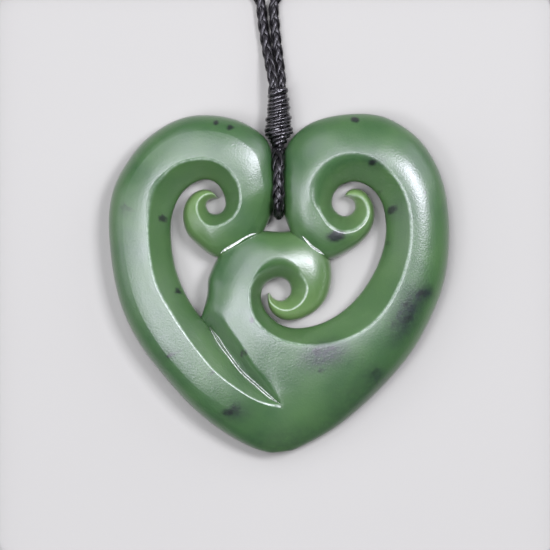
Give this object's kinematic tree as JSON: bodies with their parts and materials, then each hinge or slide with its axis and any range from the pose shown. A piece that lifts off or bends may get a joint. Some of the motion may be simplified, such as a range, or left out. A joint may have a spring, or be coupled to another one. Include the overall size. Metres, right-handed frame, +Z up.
{
  "type": "heart pendant",
  "caption": "Carved green stone heart pendant with pierced spirals, on a black plaited neck cord bound above it by a wound whipping.",
  "frame": {"origin": "under the middle of the heart, on the surface that it lies on", "axes": "+Z up from the flat back to the carved front, +Y from the heart's point towards its lobes and the neck cord, +X to the right seen from the front"},
  "size_m": [0.1093, 0.1106, 0.009],
  "materials": {
    "jade": "satin-polished green stone with dark specks",
    "cord": "black waxed plait",
    "thread": "black waxed thread, wound"
  },
  "bodies": {
    "root": {"jade_heart": "jade", "cord_loop": "cord", "whipping": "thread", "neck_cord_left": "cord", "neck_cord_right": "cord", "back_knot": "thread"}
  },
  "joints": []
}
